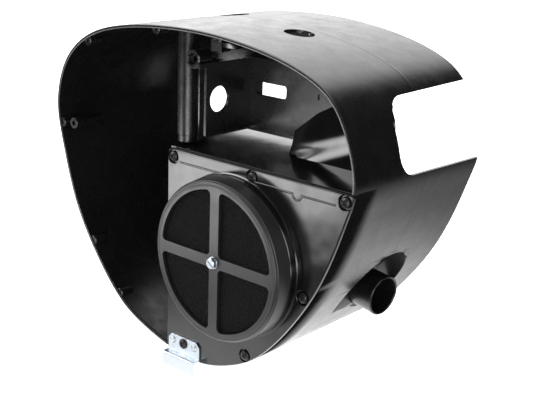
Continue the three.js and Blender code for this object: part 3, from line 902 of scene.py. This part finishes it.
# ---- mounting bracket ----
def bent_sheet():
    """The bracket's side view as a closed (y, z) loop with rounded bends."""
    thick, top, bend, foot = (BRACKET[k] for k in ("thick", "top", "bend", "foot"))
    lip = BRACKET_FRONT - BRACKET["ledge"]
    # y, z and bend radius of each corner
    turns = [
        (-GAP, top, 0), (-GAP, bend - thick, 2.0), (lip + thick, bend - thick, 0.5), (lip + thick, foot, 0),
        (lip, foot, 0), (lip, bend, 2.0), (BRACKET_FRONT, bend, 0.5), (BRACKET_FRONT, top, 0),
    ]
    loop = []
    for i, (y, z, radius) in enumerate(turns):
        here = Vector((y, z))
        if not radius:
            loop.append((y, z))
            continue
        before = Vector(turns[i - 1][:2]) - here
        after = Vector(turns[(i + 1) % len(turns)][:2]) - here
        start, end = here + before.normalized() * radius, here + after.normalized() * radius
        for k in range(8):
            t = k / 7
            point = start * (1 - t) ** 2 + here * 2 * t * (1 - t) + end * t * t
            loop.append((point.x, point.y))
    return loop


def mounting_bracket():
    """The bent sheet with its two upper corners cut off and a screw hole."""
    left, right, top = (BRACKET[k] for k in ("left", "right", "top"))
    rings = [[(x, y, z) for y, z in bent_sheet()] for x in (left, right)]
    sheet = skinned(rings, capped=True)
    chamfer, past = 4.0, 3
    cuts = []
    for x, way in ((left, 1), (right, -1)):
        corner = [(x - past * way, top + past), (x + (chamfer + past) * way, top + past),
                  (x - past * way, top - chamfer - past)]
        cuts.append(prism(corner, -30, 10))
    cuts.append(moved(rod(2.3, -20, 5, 24), BRACKET_SCREW[0], 0, BRACKET_SCREW[1]))
    sheet = combined(sheet, *cuts)
    return shaded(eased(sheet, 0.3, 55, 2), 40)


piece("mounting_bracket_visual", mounting_bracket(), ZINC)

# ---- inner pieces keep their CAD shapes ----
INNER = {
    "foam_support_grid": COVER_PLASTIC, "panel_gasket": RUBBER, "cover_seal": RUBBER,
    "cover_screw_insert": BRASS, "bracket_insert": BRASS,
}
INNER.update({f"panel_insert_{number}": BRASS for number in range(1, 6)})
for node, material in INNER.items():
    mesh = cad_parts[node].data
    mesh.materials.clear()
    mesh.materials.append(material)


# ---- floor, light and camera ----
def mixed(tree, factor, low, high):
    node = tree.nodes.new("ShaderNodeMixShader")
    tree.links.new(factor, node.inputs["Fac"])
    tree.links.new(low, node.inputs[1])
    tree.links.new(high, node.inputs[2])
    return node.outputs["Shader"]


def added(tree, first, second):
    node = tree.nodes.new("ShaderNodeMath")
    tree.links.new(first, node.inputs[0])
    tree.links.new(second, node.inputs[1])
    return node.outputs["Value"]


# glows on the floor that only the object mirrors: x and y in metres, radius, radiance at the centre
FLOOR_GLOW = [
    (-0.38, -0.56, 0.44, 10.0),    # front left, in the panel and the cover
    (0.0, -0.1, 0.26, 2.0),        # under the front, in the panel's foot
    (0.14, 0.09, 0.26, 1.1),       # two at the right, in the side's lower half
    (0.22, 0.17, 0.5, 0.7),
    (0.48, -0.7, 0.5, 14.0),       # front right, in the tower and rounded edges
    (-0.2, 0.8, 0.65, 3.0),        # back, left and right
    (-0.9, 0.15, 0.65, 3.0),
    (0.95, -0.15, 0.5, 3.0),
]
FLOOR_DIM = 0.02                   # radiance of the floor away from every glow


def floor():
    """A pale floor; the object mirrors soft glows on it instead of an even white."""
    mesh = new_mesh([(-30, -30, 0), (30, -30, 0), (30, 30, 0), (-30, 30, 0)], [(0, 1, 2, 3)])
    made = bpy.data.objects.new("floor", mesh)
    bpy.context.scene.collection.objects.link(made)
    m = Nodes("pale_floor", (0.9, 0.9, 0.9), 0.9)
    m.shader.inputs["Specular IOR Level"].default_value = 0.1
    m.shader.inputs["Emission Color"].default_value = (1, 1, 1, 1)
    m.shader.inputs["Emission Strength"].default_value = 0.92
    m.bump(m.noise(40, 2), 0.0001)
    tree = m.tree
    total = None
    for x, y, radius, radiance in FLOOR_GLOW:
        away = tree.nodes.new("ShaderNodeVectorMath")
        away.operation = "DISTANCE"
        away.inputs[1].default_value = (x, y, 0)
        tree.links.new(m.place, away.inputs[0])
        spot = tree.nodes.new("ShaderNodeMapRange")
        spot.interpolation_type = "SMOOTHERSTEP"
        spot.inputs["From Min"].default_value = radius
        spot.inputs["From Max"].default_value = 0
        spot.inputs["To Min"].default_value = 0 if total else FLOOR_DIM
        spot.inputs["To Max"].default_value = radiance
        tree.links.new(away.outputs["Value"], spot.inputs["Value"])
        total = spot.outputs["Result"] if total is None else added(tree, total, spot.outputs["Result"])
    glow = tree.nodes.new("ShaderNodeEmission")
    tree.links.new(total, glow.inputs["Strength"])
    seen = tree.nodes.new("ShaderNodeLightPath").outputs["Is Camera Ray"]
    shown = mixed(tree, seen, glow.outputs["Emission"], m.shader.outputs["BSDF"])
    tree.links.new(shown, tree.nodes["Material Output"].inputs["Surface"])
    mesh.materials.append(m.material)


def direction(azimuth, elevation):
    """Unit vector; azimuth 0 is +Y and 90 is +X."""
    a, e = math.radians(azimuth), math.radians(elevation)
    return (math.sin(a) * math.cos(e), math.cos(a) * math.cos(e), math.sin(e))


# soft boxes in the sky: azimuth, elevation, full to this angle, gone at this angle, radiance
SOFTBOXES = [
    (-42, 28, 18, 44, 2.3),        # behind, in the shell's top
    (-134, 28, 7, 19, 12.0),       # front left, in the partition's band
    (0, 80, 12, 38, 3.0),          # overhead
    (-95, 25, 12, 32, 1.5),        # left and right
    (95, 35, 8, 26, 1.2),
    (140, 8, 10, 26, 5.0),         # front right
]
AMBIENT = 0.03                     # radiance of the sky away from every soft box


def studio():
    """A sky that the camera sees as plain white and the object mirrors as soft boxes."""
    world = bpy.data.worlds.new("studio")
    bpy.context.scene.world = world
    world.use_nodes = True
    tree = world.node_tree
    background = tree.nodes["Background"]
    background.inputs["Color"].default_value = (1, 1, 1, 1)
    place = tree.nodes.new("ShaderNodeTexCoord").outputs["Generated"]
    total = None
    for azimuth, elevation, full, gone, radiance in SOFTBOXES:
        dot = tree.nodes.new("ShaderNodeVectorMath")
        dot.operation = "DOT_PRODUCT"
        dot.inputs[1].default_value = direction(azimuth, elevation)
        tree.links.new(place, dot.inputs[0])
        shape = tree.nodes.new("ShaderNodeMapRange")
        shape.interpolation_type = "SMOOTHSTEP"
        shape.inputs["From Min"].default_value = math.cos(math.radians(gone))
        shape.inputs["From Max"].default_value = math.cos(math.radians(full))
        shape.inputs["To Min"].default_value = 0 if total else AMBIENT
        shape.inputs["To Max"].default_value = radiance
        tree.links.new(dot.outputs["Value"], shape.inputs["Value"])
        total = shape.outputs["Result"] if total is None else added(tree, total, shape.outputs["Result"])
    tree.links.new(total, background.inputs["Strength"])
    pale = tree.nodes.new("ShaderNodeBackground")
    pale.inputs["Color"].default_value = (1, 1, 1, 1)
    seen = tree.nodes.new("ShaderNodeLightPath").outputs["Is Camera Ray"]
    shown = mixed(tree, seen, background.outputs["Background"], pale.outputs["Background"])
    tree.links.new(shown, tree.nodes["World Output"].inputs["Surface"])


# angles in degrees, lens and place in millimetres
CAMERA = dict(azimuth=40.754, elevation=17.067, roll=1.991, lens=68.74, place=(524.8, -569.0, 285.9))


def camera():
    """Pinhole camera from the angles, rolled about its own axis."""
    a, e, r = (math.radians(CAMERA[k]) for k in ("azimuth", "elevation", "roll"))
    back = Vector((math.sin(a) * math.cos(e), -math.cos(a) * math.cos(e), math.sin(e)))
    right = Vector((math.cos(a), math.sin(a), 0))
    up = back.cross(right)
    across = right * math.cos(r) + up * math.sin(r)
    upwards = up * math.cos(r) - right * math.sin(r)
    data = bpy.data.cameras.new("camera")
    data.sensor_width = 36
    data.lens = CAMERA["lens"]
    data.clip_start, data.clip_end = 0.01, 100
    made = bpy.data.objects.new("camera", data)
    bpy.context.scene.collection.objects.link(made)
    turn = Matrix((across, upwards, back)).transposed().to_4x4()
    made.matrix_world = Matrix.Translation(TO_ROW @ Vector(CAMERA["place"])) @ turn
    bpy.context.scene.camera = made


floor()
studio()
camera()
view = bpy.context.scene.view_settings
view.view_transform = "Standard"
